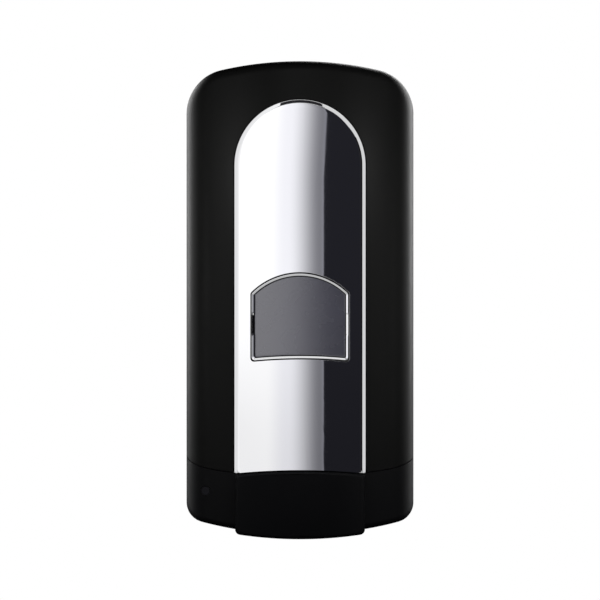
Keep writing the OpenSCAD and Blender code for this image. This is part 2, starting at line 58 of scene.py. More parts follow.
# ---------------------------------------------------------------- sizes, in millimetres
cover_lo, cover_hi = (np.array(c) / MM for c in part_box("front_cover"))
nose_lo, nose_hi = (np.array(c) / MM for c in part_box("nose_cover"))
panel_hi = np.array(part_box("chrome_panel")[1]) / MM
HALF_W = float(cover_hi[0])
TOP = float(cover_hi[2])
DEPTH = float(-cover_lo[1])
NOSE_LOW = float(nose_lo[2])
CHIN_LOW = NOSE_LOW + 2.5  # the nose hangs this far below the chin
NOSE_HW = float(nose_hi[0])
PANEL_R = float(panel_hi[0])
PANEL_TOP = float(panel_hi[2])
ARCH_Z = PANEL_TOP - PANEL_R  # centre of the panel's arched top
PANEL_LOW = -94.9  # middle of the panel's lower edge
PANEL_PROUD = 1.3  # how far the panel stands out of the cover
PANEL_BACK = 0.95  # how far its back lies behind the cover's face
LOW_R = 330.0  # radius of the panel's lower edge
GAP = 0.6  # joint round the panel
FRONT_R, SIDE_R = 110.0, 28.0  # the bowed front and its side corners, seen from above
CROWN_R, CROWN_CORNER = 216.0, 25.0
CHIN_R, CHIN_CORNER = 240.0, 11.0
WALL = 2.5
RIM_Y = -16.4  # where the cover meets the rear housing
SEAM_Z, SEAM_SLOPE, SEAM_GAP = -98.2, 0.31, 0.6
HINGE_Y, HINGE_Z, KNUCKLE_R = -19.0, -116.0, 15.3
WIN_HW, WIN_TOP, WIN_R = 25.4, 13.2, 36.5
WIN_LOW, WIN_LOW_R = -30.9, 260.0
CATCH_Z, CATCH_HALF = -13.4, 5.9  # middle and half height of the window's catches
NOSE_PROUD, NOSE_BACK = 2.1, -40.0
NOSE_CROWN_R, NOSE_CORNER = 255.0, 3.0
NOSE_HUB = np.array([0.0, -114.0])
CHIN_HUB = -112.5
RAY_HUB = np.array([0.0, -8.0])
SHARP = 32  # edges that turn by more degrees than this stay crisp

FRONT_CY = FRONT_R - DEPTH
CORNER_X = HALF_W - SIDE_R
CORNER_Y = FRONT_CY - math.sqrt((FRONT_R - SIDE_R) ** 2 - CORNER_X ** 2)


def plan_y(x, e=0.0):
    """Depth of the bowed front at x, shrunk inwards by e."""
    x = np.abs(np.asarray(x, float))
    limit = CORNER_X * (FRONT_R - e) / (FRONT_R - SIDE_R)
    bow = FRONT_CY - np.sqrt(np.maximum((FRONT_R - e) ** 2 - x ** 2, 0))
    side = CORNER_Y - np.sqrt(np.maximum((SIDE_R - e) ** 2 - (x - CORNER_X) ** 2, 0))
    return np.where(x < limit, bow, side)


def seam_z(y, gap=0.0):
    return SEAM_Z - gap + SEAM_SLOPE * (np.asarray(y, float) + DEPTH)


class Crown:
    """Crowned end of the front view: an apex arc and two corner arcs. sign -1 is the lower end."""

    def __init__(self, apex, radius, corner, sign, half_w=None):
        self.sign, self.r, self.c = sign, radius, corner
        self.w = half_w or HALF_W
        self.apex = apex
        self.cx = self.w - corner
        self.rise = math.sqrt((radius - corner) ** 2 - self.cx ** 2)

    def points(self, e=0.0, n=120):
        """Outline from the right side over the apex to the left side, as x, z and unit normals."""
        r, c = self.r - e, self.c - e
        cz = self.apex - self.sign * self.r
        kz = cz + self.sign * self.rise
        turn = math.atan2(self.rise, self.cx)
        a1 = np.linspace(0, turn, n // 3, endpoint=False)
        a2 = np.linspace(turn, math.pi - turn, n)
        a3 = np.linspace(math.pi - turn, math.pi, n // 3 + 1)[1:]
        x = np.concatenate([self.cx + c * np.cos(a1), r * np.cos(a2), -self.cx + c * np.cos(a3)])
        z = np.concatenate([kz + self.sign * c * np.sin(a1), cz + self.sign * r * np.sin(a2),
                            kz + self.sign * c * np.sin(a3)])
        a = np.concatenate([a1, a2, a3])
        return x, z, np.cos(a), self.sign * np.sin(a)

    def edge(self, x, z, e=0.0):
        """Distance in from the outline, and how far the nearest normal turns to the end."""
        x = np.abs(x)
        cz = self.apex - self.sign * self.r
        kz = cz + self.sign * self.rise
        up = (z - kz) * self.sign
        dx = x - self.cx
        in_corner = np.arctan2(np.maximum(up, 0), dx) < math.atan2(self.rise, self.cx)
        rho = np.hypot(dx, up)
        d_corner = self.c - e - rho
        d_crown = self.r - e - np.hypot(x, (z - cz))
        nz = np.where(in_corner, up / np.maximum(rho, 1e-6), 1.0)
        d = np.where(in_corner & (dx > 0), d_corner, d_crown)
        d = np.where(up <= 0, 999.0, d)
        return d, np.clip(nz, 0, 1)


crown = Crown(TOP, CROWN_R, CROWN_CORNER, 1)
chin = Crown(CHIN_LOW, CHIN_R, CHIN_CORNER, -1)


def round_in(d, r):
    """How far a rounded edge of radius r falls back at distance d from its outer side."""
    d = np.clip(d, 0, r)
    return r - np.sqrt(np.maximum(r * r - (r - d) ** 2, 0))


def smooth(t):
    t = np.clip(t, 0, 1)
    return t * t * (3 - 2 * t)


def front_y(x, z, end, e=0.0, fillet=5.0):
    d, nz = end.edge(x, z, e)
    return plan_y(x, e) + smooth(nz / 0.8) * round_in(d, max(fillet - e, 1.0))


# ---------------------------------------------------------------- mesh making

def mesh_object(name, verts, faces, sharp):
    mesh = bpy.data.meshes.new(name)
    mesh.from_pydata([tuple(v) for v in np.asarray(verts) * MM], [], faces)
    mesh.validate()
    mesh.update()
    mesh.polygons.foreach_set("use_smooth", [True] * len(mesh.polygons))
    mesh.set_sharp_from_angle(angle=math.radians(sharp))
    obj = bpy.data.objects.new(name, mesh)
    bpy.context.scene.collection.objects.link(obj)
    return obj


def grid_faces(nq, ns, closed_q, closed_s, base=0, flip=False):
    faces = []
    for q in range(nq if closed_q else nq - 1):
        q2 = (q + 1) % nq
        for s in range(ns if closed_s else ns - 1):
            s2 = (s + 1) % ns
            f = (base + q * ns + s, base + q * ns + s2, base + q2 * ns + s2, base + q2 * ns + s)
            faces.append(f[::-1] if flip else f)
    return faces


def outward(verts, faces):
    """True if the closed mesh's faces point out."""
    v = np.asarray(verts)
    vol = 0.0
    for f in faces:
        a = v[f[0]]
        for i in range(1, len(f) - 1):
            vol += np.dot(a, np.cross(v[f[i]], v[f[i + 1]]))
    return vol > 0


def solid_loft(rows, closed_s):
    """Verts and faces of a ring of rows that closes on itself, with end caps if its rows are open."""
    p = np.array(rows)
    nq, ns, _ = p.shape
    verts = p.reshape(-1, 3)
    faces = grid_faces(nq, ns, True, closed_s)
    if not closed_s:
        for q in range(nq // 2):
            a, b = q, nq - 1 - q
            a2, b2 = q + 1, nq - 2 - q
            if a2 >= b2:
                if a2 == b2:
                    faces.append((a * ns, b * ns, b2 * ns)[::-1])
                    faces.append((a * ns + ns - 1, b * ns + ns - 1, b2 * ns + ns - 1))
                break
            faces.append((a * ns, a2 * ns, b2 * ns, b * ns))
            faces.append((a * ns + ns - 1, b * ns + ns - 1, b2 * ns + ns - 1, a2 * ns + ns - 1))
    if not outward(verts, faces):
        faces = [f[::-1] for f in faces]
    return verts, faces


def join_parts(name, parts, sharp=SHARP):
    """One mesh object from several (verts, faces) parts."""
    verts, faces, base = [], [], 0
    for v, f in parts:
        verts.append(np.asarray(v))
        faces += [tuple(i + base for i in face) for face in f]
        base += len(v)
    return mesh_object(name, np.concatenate(verts), faces, sharp)


def place(obj, body, nodes=()):
    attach(obj, body)
    if nodes:
        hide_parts(*nodes)
    return obj


# ---------------------------------------------------------------- shells

LEG = 34  # points along each straight leg of a row
ARC = 150  # points round its crowned end
WALL_ROWS = 10  # rows from the rear edge to the front corner
FRONT_ROWS = 46  # rows from there to the inner edge


def by_angle(x, z, hub_z, angles):
    """Points of an outline where rays from the hub at these angles meet it."""
    a = np.unwrap(np.arctan2(z - hub_z, x))
    order = np.argsort(a)
    return np.interp(angles, a[order], x[order]), np.interp(angles, a[order], z[order])


def shell_rows(end, hub_z, inner_arc, e, rear_y, seam_gap, fillet=5.0):
    """Rows of one skin of a U-shaped shell, from its rear edge, round the front corner, to its inner edge.

    Along each row the U runs up one straight leg from the seam, round the crowned end and back.
    """
    ox, oz, _, _ = end.points(e)
    side = HALF_W - e
    x_all = np.concatenate([[side], ox, [-side]])
    z_all = np.concatenate([[hub_z - end.sign * 0.001], oz, [hub_z - end.sign * 0.001]])
    span = np.linspace(0.0, math.pi, ARC) * end.sign
    arc_x, arc_z = by_angle(x_all, z_all, hub_z, span)
    arc_x[0], arc_z[0], arc_x[-1], arc_z[-1] = side, hub_z, -side, hub_z
    in_x, in_z = inner_arc(span)
    tau = np.linspace(0, 1, LEG, endpoint=False)

    def row(px, pz, y_of):
        legs = []
        for x0 in (px[0], px[-1]):
            y0 = float(y_of(np.array([x0]), np.array([SEAM_Z]))[0])
            z_end = float(seam_z(y0, seam_gap))
            z = z_end + (hub_z - z_end) * tau
            x = np.full(LEG, x0)
            legs.append(np.stack([x, y_of(x, z), z], 1))
        arc = np.stack([px, y_of(px, pz), pz], 1)
        return np.concatenate([legs[0], arc, legs[1][::-1]])

    def face(x, z):
        return front_y(x, z, end, e, fillet)

    rows = []
    for k in range(WALL_ROWS):
        f = k / WALL_ROWS
        rows.append(row(arc_x, arc_z, lambda x, z, f=f: rear_y(z) * (1 - f) + face(x, z) * f))
    for k in range(FRONT_ROWS + 1):
        f = (k / FRONT_ROWS) ** 2
        rows.append(row(arc_x + (in_x - arc_x) * f, arc_z + (in_z - arc_z) * f, face))
    return rows


def lip_rows(edge, steps):
    """Rows that turn a shell's inner edge back by these depths."""
    out = []
    for back in steps:
        r = edge.copy()
        r[:, 1] += back
        out.append(r)
    return out


def panel_arc(grow):
    def arc(angles):
        r = PANEL_R + grow
        return r * np.cos(angles), ARCH_Z + r * np.sin(angles)
    return arc


def flat_rear(z):
    return np.full(np.shape(z), RIM_Y)


def cover_parts():
    skins = [shell_rows(crown, ARCH_Z, panel_arc(GAP), e, flat_rear, 0.0) for e in (0.0, WALL)]
    lip = lip_rows(skins[0][-1], (0.06, 0.5, 1.0, 1.9))
    return solid_loft(skins[0] + lip + skins[1][::-1], False)


def knuckle_y(z):
    """Rear edge of the chin: straight, then round the hinge pins."""
    z = np.asarray(z, float)
    bulge = HINGE_Y + np.sqrt(np.maximum(KNUCKLE_R ** 2 - (z - HINGE_Z) ** 2, 0))
    return np.where(np.abs(z - HINGE_Z) < KNUCKLE_R, np.maximum(bulge, RIM_Y), RIM_Y)


def under_nose(angles):
    """Inner edge of the chin, hidden behind the nose."""
    hw, low, n = NOSE_HW - 1.6, CHIN_LOW + 3.2, 30
    t = np.linspace(0, 1, n)
    x = np.concatenate([np.full(n, hw), hw - 2 * hw * t, np.full(n, -hw)])
    z = np.concatenate([CHIN_HUB + (low - CHIN_HUB) * t, np.full(n, low), low + (CHIN_HUB - low) * t])
    z[0] += 0.001
    z[-1] += 0.001
    return by_angle(x, z, CHIN_HUB, angles)


def chin_parts():
    skins = [shell_rows(chin, CHIN_HUB, under_nose, e, knuckle_y, SEAM_GAP, 3.0) for e in (0.0, WALL)]
    return solid_loft(skins[0] + skins[1][::-1], False)


def sorted_polar(d):
    """Angles and inverse radii of points about their hub, in order and wrapped at both ends."""
    a = np.arctan2(d[:, 1], d[:, 0])
    order = np.argsort(a)
    a, inverse = a[order], 1 / np.hypot(d[order, 0], d[order, 1])
    return (np.concatenate([a[-3:] - 2 * math.pi, a, a[:3] + 2 * math.pi]),
            np.concatenate([inverse[-3:], inverse, inverse[:3]]))


def outline_rays(points, hub, angles):
    """Points where rays from the hub at these angles cross a closed outline given as dense points."""
    # along a straight edge 1/r is a sine of the angle, so blending 1/r keeps edges straight
    r = 1 / np.interp(angles, *sorted_polar(points - hub))
    return hub + np.stack([r * np.cos(angles), r * np.sin(angles)], 1)


def dense(segments, step=0.25):
    """Dense closed outline from a list of corner points and arcs, already in order."""
    out = []
    for seg in segments:
        seg = np.asarray(seg, float)
        for a, b in zip(seg[:-1], seg[1:]):
            n = max(1, int(np.hypot(*(b - a)) / step))
            t = np.linspace(0, 1, n, endpoint=False)[:, None]
            out.append(a + (b - a) * t)
    return np.concatenate(out)


def lower_edge(hw, low, radius, corner, n):
    """Left corner, gently arched lower edge and right corner of an outline."""
    x = np.linspace(-hw + corner, hw - corner, n)
    edge = np.stack([x, low - radius + np.sqrt(radius ** 2 - x ** 2)], 1)
    q = np.radians(np.linspace(180, 270, 7))
    left = np.stack([-hw + corner + corner * np.cos(q), edge[0, 1] + corner + corner * np.sin(q)], 1)
    return np.concatenate([left, edge[1:-1], left[::-1] * [-1, 1]])


def panel_outline(grow=0.0, low=PANEL_LOW, corner=0.6):
    """Arched top, straight sides, and a lower edge that arches gently up."""
    r = PANEL_R + grow
    a = np.radians(np.linspace(0, 180, 181))
    top = np.stack([r * np.cos(a), ARCH_Z + r * np.sin(a)], 1)
    return dense([np.concatenate([top, lower_edge(r, low - grow, LOW_R, corner, 61), top[:1]])])


def window_outline(shrink=0.0, corner=1.0):
    """Arched top, straight sides, a lower edge that arches gently up, and small round corners."""
    hw, r = WIN_HW - shrink, WIN_R - shrink
    cz = WIN_TOP - WIN_R
    c = max(corner - shrink * 0.4, 0.25)
    # upper corner circle, tangent to the side and inside the arch
    ux = hw - c
    uz = cz + math.sqrt((r - c) ** 2 - ux ** 2)
    start = math.atan2(uz - cz, ux)
    a = np.linspace(start, math.pi - start, 80)
    arch = np.stack([r * np.cos(a), cz + r * np.sin(a)], 1)
    k = np.linspace(0, start, 7)[:-1]
    right_up = np.stack([ux + c * np.cos(k), uz + c * np.sin(k)], 1)
    left_up = (right_up * [-1, 1])[::-1]
    below = lower_edge(hw, WIN_LOW + shrink, WIN_LOW_R, c, 41)
    return dense([np.concatenate([right_up, arch, left_up, below, right_up[:1]])])


def ray_angles():
    """Angles that sample both outlines evenly and keep their corners."""
    found = []
    for pts, step in ((panel_outline(), 5), (window_outline(), 3)):  # every fifth and third point
        d = pts[::step] - RAY_HUB
        found.append(np.arctan2(d[:, 1], d[:, 0]))
    a = np.sort(np.concatenate(found))
    least = 0.0035
    keep = [a[0]]
    for v in a[1:]:
        if v - keep[-1] > least:
            keep.append(v)
    return np.array(keep)


ANGLES = ray_angles()


def ray_points(outline):
    return outline_rays(outline, RAY_HUB, ANGLES)


def skin(xz, y):
    return np.stack([xz[:, 0], y, xz[:, 1]], 1)


def raised(p, height):
    """Points of a front view, at this height above the cover's bowed face."""
    return skin(p, plan_y(p[:, 0]) - height)


def panel_rows():
    """Front skin of the chrome panel from its outer bevel to its inner bevel, then back round behind."""
    levels = [  # distance in from the outer edge, and height above the cover's face
        (0.0, -0.9), (0.0, -0.03), (0.04, 0.08), (0.22, 0.25), (0.42, 0.43), (0.7, 0.58), (1.2, 0.83),
        (1.75, 1.11), (1.95, 1.21), (2.07, 1.25), (2.27, 1.285), (2.5, PANEL_PROUD)]
    inner = [  # distance out from the window's edge, and height above the cover's face
        (2.45, PANEL_PROUD), (2.35, PANEL_PROUD), (2.31, 1.28), (2.3, 1.2), (2.3, 0.6), (2.3, -0.2),
        (2.3, -0.9)]
    outs = [ray_points(panel_outline(-d, PANEL_LOW - d)) for d, _ in levels]
    ins = [ray_points(window_outline(-d)) for d, _ in inner]
    face_rows, back_rows = 40, 8
    rows = [raised(p, h) for p, (_, h) in zip(outs, levels)]
    for k in range(1, face_rows):
        rows.append(raised(outs[-1] + (ins[0] - outs[-1]) * (k / face_rows), PANEL_PROUD))
    rows += [raised(p, h) for p, (_, h) in zip(ins, inner)]
    for k in reversed(range(back_rows + 1)):
        rows.append(raised(outs[0] + (ins[-1] - outs[0]) * (k / back_rows), -PANEL_BACK))
    return rows


def bezel_rows():
    """Bezel round the window, sloping in to the pane, and steeper by the catch on each side.

    Both profiles are distance out from the window's edge, and height above the cover's face.
    """
    bead = [(1.55, -0.9), (1.55, 0.95), (1.54, 1.08), (1.5, 1.12), (1.44, 1.13), (1.35, 1.11), (1.15, 1.04),
            (0.95, 0.965), (0.75, 0.89), (0.5, 0.8), (0.42, 0.77), (0.38, 0.7), (0.37, 0.3), (0.37, -0.9)]
    slope = [(1.55, -0.9), (1.55, 0.95), (1.54, 1.08), (1.5, 1.11), (1.42, 1.08), (1.3, 1.0), (1.15, 0.9),
             (0.95, 0.77), (0.75, 0.63), (0.5, 0.46), (0.42, 0.41), (0.38, 0.3), (0.37, 0.1), (0.37, -0.9)]
    edge = ray_points(window_outline(0.0))
    by_side = smooth(np.abs(edge[:, 0]) - 20)
    catch = by_side * smooth((CATCH_HALF - np.abs(edge[:, 1] - CATCH_Z)) / 0.35)
    share = catch[:, None]
    rows = []
    for (d0, h0), (d1, h1) in zip(bead, slope):
        p = ray_points(window_outline(-d0)) * (1 - share) + ray_points(window_outline(-d1)) * share
        rows.append(raised(p, h0 + (h1 - h0) * catch))
    return rows


def shadow_strip_rows():
    """Thin black strip that fills the joint between the bezel and the panel, just below the panel's face: a
    painted shadow standing in for the shadow gap of that joint.
    """
    profile = [(1.54, -0.8), (1.54, 0.9), (1.6, 0.98), (1.92, 1.0), (2.24, 0.98), (2.305, 0.9), (2.305, -0.8)]
    return [raised(ray_points(window_outline(-d)), h) for d, h in profile]


def annulus(outer, inner, y_front, y_back, steps=14):
    """Closed plate between two outlines, following the bowed front."""
    a, b = ray_points(outer), ray_points(inner)
    front, back = [], []
    for k in range(steps + 1):
        p = a + (b - a) * (k / steps)
        front.append(skin(p, plan_y(p[:, 0], y_front)))
        back.append(skin(p, plan_y(p[:, 0], y_back)))
    return solid_loft(front + back[::-1], True)


def cap_loft(rows):
    """Closed solid from rings that start and end small, each end filled with one small face."""
    p = np.array(rows)
    nq, ns, _ = p.shape
    verts = p.reshape(-1, 3)
    faces = grid_faces(nq, ns, False, True)
    faces.append(tuple(range(ns)))
    faces.append(tuple((nq - 1) * ns + i for i in range(ns))[::-1])
    if not outward(verts, faces):
        faces = [f[::-1] for f in faces]
    return verts, faces


def lens_rows(thick=1.6, low=0.35):
    """Window pane: a rounded rim and a face that follows the bow, set a little below the cover's face."""
    edge = ray_points(window_outline(0.12))
    rows = []
    for k in range(16):
        f = 0.03 + 0.94 * k / 15
        p = RAY_HUB + (edge - RAY_HUB) * f
        rows.append(skin(p, plan_y(p[:, 0]) + low))
    for shrink, back in ((0.28, 0.02), (0.18, 0.08), (0.12, 0.2), (0.12, thick)):
        p = ray_points(window_outline(shrink))
        rows.append(skin(p, plan_y(p[:, 0]) + low + back))
    for k in range(8):
        f = 0.9 * (1 - k / 7) + 0.03
        p = RAY_HUB + (edge - RAY_HUB) * f
        rows.append(skin(p, plan_y(p[:, 0]) + low + thick))
    return rows


def nose_outline(shrink=0.0):
    """Front view of the nose: an upper edge that follows the panel and a crowned lower edge."""
    hw = NOSE_HW - shrink
    end = Crown(NOSE_LOW + shrink, NOSE_CROWN_R - shrink, NOSE_CORNER, -1, hw)
    x, z, _, _ = end.points(0.0, 90)
    tx = np.linspace(-hw, hw, 61)
    tz = PANEL_LOW - 0.8 - shrink - LOW_R + np.sqrt(LOW_R ** 2 - tx ** 2)
    loop = np.concatenate([np.stack([x, z], 1), np.stack([tx, tz], 1)])
    return dense([np.concatenate([loop, loop[:1]])])


def nose_parts():
    angles = np.linspace(-math.pi, math.pi, 420, endpoint=False)

    def ring(outline):
        return outline_rays(outline, NOSE_HUB, angles)

    def back_y(p):
        """The nose runs back under the chin, and ends in front of it elsewhere."""
        chin_z = chin.apex + chin.r - np.sqrt(chin.r ** 2 - p[:, 0] ** 2)
        return np.where(p[:, 1] < chin_z + 0.05, NOSE_BACK, plan_y(p[:, 0]) + 0.25)

    edge = ring(nose_outline())
    rows = []
    for k in range(26):
        f = 0.03 + 0.9 * k / 25
        p = NOSE_HUB + (edge - NOSE_HUB) * f
        rows.append(raised(p, NOSE_PROUD))
    for inset, fall in ((1.9, 0.0), (1.5, 0.03), (1.1, 0.12), (0.75, 0.27), (0.45, 0.5), (0.22, 0.78),
                        (0.07, 1.1), (0.0, 1.5)):
        p = ring(nose_outline(inset))
        rows.append(skin(p, plan_y(p[:, 0]) - NOSE_PROUD + fall))
    front = plan_y(edge[:, 0]) - NOSE_PROUD + 1.5
    back = back_y(edge)
    for f in np.linspace(0.05, 1, 14):
        rows.append(skin(edge, front + (back - front) * f))
    for k in range(12):
        f = 1 - (k + 1) / 12 * 0.96
        p = NOSE_HUB + (edge - NOSE_HUB) * f
        rows.append(skin(p, back_y(p)))
    return cap_loft(rows)


def sweep_x(profile, x0, x1):
    """Closed prism along x of a profile given as y, z points."""
    n = len(profile)
    verts = [(x, y, z) for x in (x0, x1) for y, z in profile]
    faces = [(i, (i + 1) % n, n + (i + 1) % n, n + i) for i in range(n)]
    faces += [tuple(range(n))[::-1], tuple(range(n, 2 * n))]
    if not outward(verts, faces):
        faces = [f[::-1] for f in faces]
    return verts, faces


def ring_profile(cy, cz, r, n=40):
    a = np.linspace(0, 2 * math.pi, n, endpoint=False)
    return [(cy + r * math.cos(t), cz + r * math.sin(t)) for t in a]


def box_part(lo, hi):
    (x0, y0, z0), (x1, y1, z1) = lo, hi
    return sweep_x([(y0, z0), (y1, z0), (y1, z1), (y0, z1)], x0, x1)


def turned(part, order):
    """The same part with its axes in another order."""
    verts, faces = part
    verts = [tuple(v[i] for i in order) for v in verts]
    if not outward(verts, faces):
        faces = [f[::-1] for f in faces]
    return verts, faces


def cut(obj, cutters, sharp=SHARP):
    """Subtract these closed parts from an object's mesh."""
    for part in cutters:
        tool = join_parts("cutter", [part])
        m = obj.modifiers.new("cut", "BOOLEAN")
        m.object, m.operation, m.solver = tool, "DIFFERENCE", "EXACT"
        bpy.context.view_layer.update()
        done = bpy.data.meshes.new_from_object(obj.evaluated_get(bpy.context.evaluated_depsgraph_get()))
        obj.modifiers.clear()
        bpy.data.objects.remove(tool)
        old, obj.data = obj.data, done
        bpy.data.meshes.remove(old)
    for p in obj.data.polygons:
        p.use_smooth = True
    obj.data.set_sharp_from_angle(angle=math.radians(sharp))


def add_parts(obj, parts, sharp=SHARP):
    """Merge more closed parts into an object's mesh."""
    extra = join_parts("extra", parts, sharp)
    with bpy.context.temp_override(active_object=obj, selected_editable_objects=[obj, extra]):
        bpy.ops.object.join()


# ---------------------------------------------------------------- the visible mouldings

PUMP_Y, OUTLET_R = -60.0, 12
LENS_Y, LENS_HW = -86.0, 13
UNDER, ABOVE = -140, -124  # heights that a cut through the underside runs between
INDICATOR_X, INDICATOR_Z, INDICATOR_R = -53, -107, 2.6
PIN_X, NOTCH_X = 57, 50.5  # the hinge knuckles, and the housing's lugs between them
BOSS_X = 40
BOSS_Y = -float(plan_y(44.5))


def bosses(shift, half_w, low, high):
    """The pair of screw bosses behind the front, between these heights from the seam."""
    return [box_part((s * (BOSS_X + shift) - half_w, 1.2 - BOSS_Y, SEAM_Z + low),
                     (s * (BOSS_X + shift) + half_w, 15.5 - DEPTH, SEAM_Z + high)) for s in (-1, 1)]


cover_plate = annulus(panel_outline(GAP + 0.02), window_outline(2.4), 1.0, WALL)
latch_rib = box_part((-16, -22.5, 127.2), (16, -20, TOP - 1.6))
cover = join_parts("cover_moulding", [cover_parts()])
add_parts(cover, [cover_plate, latch_rib] + bosses(0.5, 4, 5.2, 15.8))
place(cover, "cover", ["front_cover"])

panel = join_parts("chrome_trim", [solid_loft(panel_rows(), True), solid_loft(bezel_rows(), True)])
place(panel, "cover", ["chrome_panel"])

# black strip in the joint round the window: painted shadow of the gap there
shadow_strip = join_parts("window_shadow_strip", [solid_loft(shadow_strip_rows(), True)])
place(shadow_strip, "cover")
pane = join_parts("window_pane", [cap_loft(lens_rows())])
place(pane, "cover", ["sight_window"])

outlet = turned(sweep_x(ring_profile(0, PUMP_Y, OUTLET_R, 72), UNDER, ABOVE), (1, 2, 0))
lens_slot = box_part((-LENS_HW, LENS_Y - 5, UNDER), (LENS_HW, LENS_Y + 5, ABOVE))

nose = join_parts("nose_moulding", [nose_parts()])
cut(nose, [outlet, lens_slot])
place(nose, "cover", ["nose_cover"])

chin_shell = join_parts("chin_moulding", [chin_parts()])
notches = [box_part((s * NOTCH_X - 3.1, -28, UNDER), (s * NOTCH_X + 3.1, 4, -110)) for s in (-1, 1)]
lamp_ring = ring_profile(INDICATOR_X, INDICATOR_Z, INDICATOR_R, 48)
lamp_hole = turned(sweep_x(lamp_ring, -DEPTH - 5, -60), (1, 0, 2))
cut(chin_shell, [outlet, lens_slot, lamp_hole] + notches)
hinge_ring = ring_profile(HINGE_Y, HINGE_Z, 5)
knuckles = [sweep_x(hinge_ring, s * PIN_X - 3.4, s * PIN_X + 3.4) for s in (-1, 1)]
add_parts(chin_shell, knuckles + bosses(0, 4.5, -13.5, 0.9))
place(chin_shell, "cover", ["chin_shell"])


def spring(node, body, turns, wire):
    """Round-wire spring with a closed coil at each end.
    """
    lo, hi = (np.array(c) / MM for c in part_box(node))
    mid, height = (lo + hi) / 2, hi[2] - lo[2]
    r, per_turn, sides = (hi[0] - lo[0]) / 2 - wire, 28, 10
    t = np.arange(turns * per_turn + 1) / per_turn
    shut = 2.05 * wire
    pitch = (height - 2 * wire - 2 * shut) / (turns - 2)
    z = lo[2] + wire + np.interp(t, [0, 1, turns - 1, turns],
                                 [0, shut, shut + pitch * (turns - 2), height - 2 * wire])
    a = 2 * np.pi * t[:, None]
    b = 2 * np.pi * np.arange(sides)[None, :] / sides
    reach = r + wire * np.cos(b)
    p = np.stack([mid[0] + reach * np.cos(a), mid[1] + reach * np.sin(a),
                  z[:, None] + wire * np.sin(b)], -1)
    faces = grid_faces(len(t), sides, False, True)
    faces += [tuple(range(sides)), tuple(range((len(t) - 1) * sides, len(t) * sides))[::-1]]
    verts = p.reshape(-1, 3)
    if not outward(verts, faces):
        faces = [f[::-1] for f in faces]
    obj = join_parts(node + "_coil", [(verts, faces)], 60)
    place(obj, body, [node])
    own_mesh(obj)
    return obj


springs = [spring("pump_spring", "housing", 6, 0.7),
           spring("latch_spring", "housing", 6, 0.3)]


def even_shading(obj, crease=38):
    """Shade a CAD mesh by angle with modifiers: its own vertices and normals are not touched."""
    weld = obj.modifiers.new("weld", "WELD")
    weld.merge_threshold = 1e-6
    split = obj.modifiers.new("creases", "EDGE_SPLIT")
    split.split_angle = math.radians(crease)
    weighted = obj.modifiers.new("weighted", "WEIGHTED_NORMAL")
    weighted.mode = "FACE_AREA"
    weighted.weight = 50


even_shading(frame["nodes"]["rear_housing"])


# ---------------------------------------------------------------- materials

class Mat:
    """Node material in object space, whose texture sizes are given in millimetres."""

    def __init__(self, name, base, rough, metallic=0.0, ior=1.46, spec=0.5):
        self.mat = bpy.data.materials.new(name)
        self.mat.use_nodes = True
        self.nt = self.mat.node_tree
        self.bsdf = self.nt.nodes["Principled BSDF"]
        self.co = self.nt.nodes.new("ShaderNodeTexCoord").outputs["Object"]
        self.base = base
        self.set("Base Color", (*base, 1.0))
        self.set("Roughness", rough)
        self.set("Metallic", metallic)
        self.set("IOR", ior)
        self.set("Specular IOR Level", spec)

    def set(self, socket, value):
        self.bsdf.inputs[socket].default_value = value

    def to(self, socket, out):
        self.nt.links.new(out, self.bsdf.inputs[socket])

    def node(self, kind, **props):
        n = self.nt.nodes.new(kind)
        for key, value in props.items():
            setattr(n, key, value)
        return n

    def noise(self, size, stretch=(1, 1, 1), detail=3.0):
        scale = self.node("ShaderNodeMapping")
        scale.inputs["Scale"].default_value = [1000.0 / size / k for k in stretch]
        self.nt.links.new(self.co, scale.inputs["Vector"])
        n = self.node("ShaderNodeTexNoise")
        n.inputs["Scale"].default_value = 1.0
        n.inputs["Detail"].default_value = detail
        self.nt.links.new(scale.outputs[0], n.inputs["Vector"])
        return n.outputs["Fac"]

    def axis(self, which):
        sep = self.node("ShaderNodeSeparateXYZ")
        self.nt.links.new(self.co, sep.inputs[0])
        return sep.outputs[which]

    def math(self, op, a, b=0.0, c=0.0):
        n = self.node("ShaderNodeMath", operation=op)
        for i, v in enumerate((a, b, c)):
            if isinstance(v, (int, float)):
                n.inputs[i].default_value = v
            else:
                self.nt.links.new(v, n.inputs[i])
        return n.outputs[0]

    def remap(self, fac, lo, hi, a=0.3, b=0.7):
        n = self.node("ShaderNodeMapRange")
        self.nt.links.new(fac, n.inputs["Value"])
        for key, value in (("From Min", a), ("From Max", b), ("To Min", lo), ("To Max", hi)):
            n.inputs[key].default_value = value
        return n.outputs["Result"]

    def blend(self, fac, first, second):
        """Colour that goes from first to second; each is a colour or an output."""
        n = self.node("ShaderNodeMix", data_type="RGBA")
        self.nt.links.new(fac, n.inputs["Factor"])
        for socket, v in (("A", first), ("B", second)):
            s = [i for i in n.inputs if i.name == socket and i.type == "RGBA"][0]
            if isinstance(v, tuple):
                s.default_value = (*v[:3], 1.0)
            else:
                self.nt.links.new(v, s)
        return [o for o in n.outputs if o.type == "RGBA"][0]

    def shade(self, fac, amount):
        """Vary the base colour by this share either way."""
        lo = tuple(c * (1 - amount) for c in self.base)
        hi = tuple(min(1.0, c * (1 + amount)) for c in self.base)
        self.to("Base Color", self.blend(self.remap(fac, 0, 1), lo, hi))

    def relief(self, height, depth_mm):
        n = self.node("ShaderNodeBump")
        n.inputs["Strength"].default_value = 1.0
        n.inputs["Distance"].default_value = depth_mm * MM
        self.nt.links.new(height, n.inputs["Height"])
        self.to("Normal", n.outputs[0])


